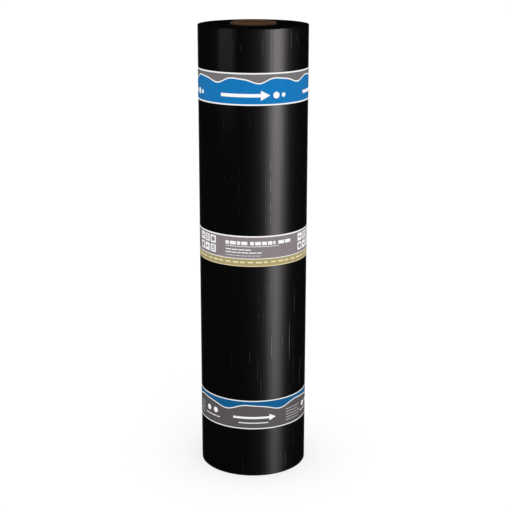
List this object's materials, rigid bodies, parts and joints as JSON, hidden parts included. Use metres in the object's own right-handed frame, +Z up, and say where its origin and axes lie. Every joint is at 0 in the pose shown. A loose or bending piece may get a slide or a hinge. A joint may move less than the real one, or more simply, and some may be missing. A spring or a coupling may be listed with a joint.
{
  "type": "roll of roofing felt",
  "caption": "Roll of black bitumen roofing felt on a thick cardboard tube, standing on its end, with printed tapes round it.",
  "frame": {"origin": "on the roll's axis, at the floor that its lower end stands on", "axes": "+Z up along the roll's axis; the sheet's free end lies at the back, on the -X side"},
  "size_m": [0.2409, 0.2409, 1.005],
  "materials": {
    "bitumen_felt": "satin",
    "tube_board": "matte",
    "tape_blue": "satin",
    "tape_grey": "satin"
  },
  "bodies": {
    "root": {"felt_roll": "bitumen_felt", "core_tube": "tube_board", "band_top": "tape_blue", "band_middle": "tape_grey", "band_bottom": "tape_blue"}
  },
  "joints": []
}
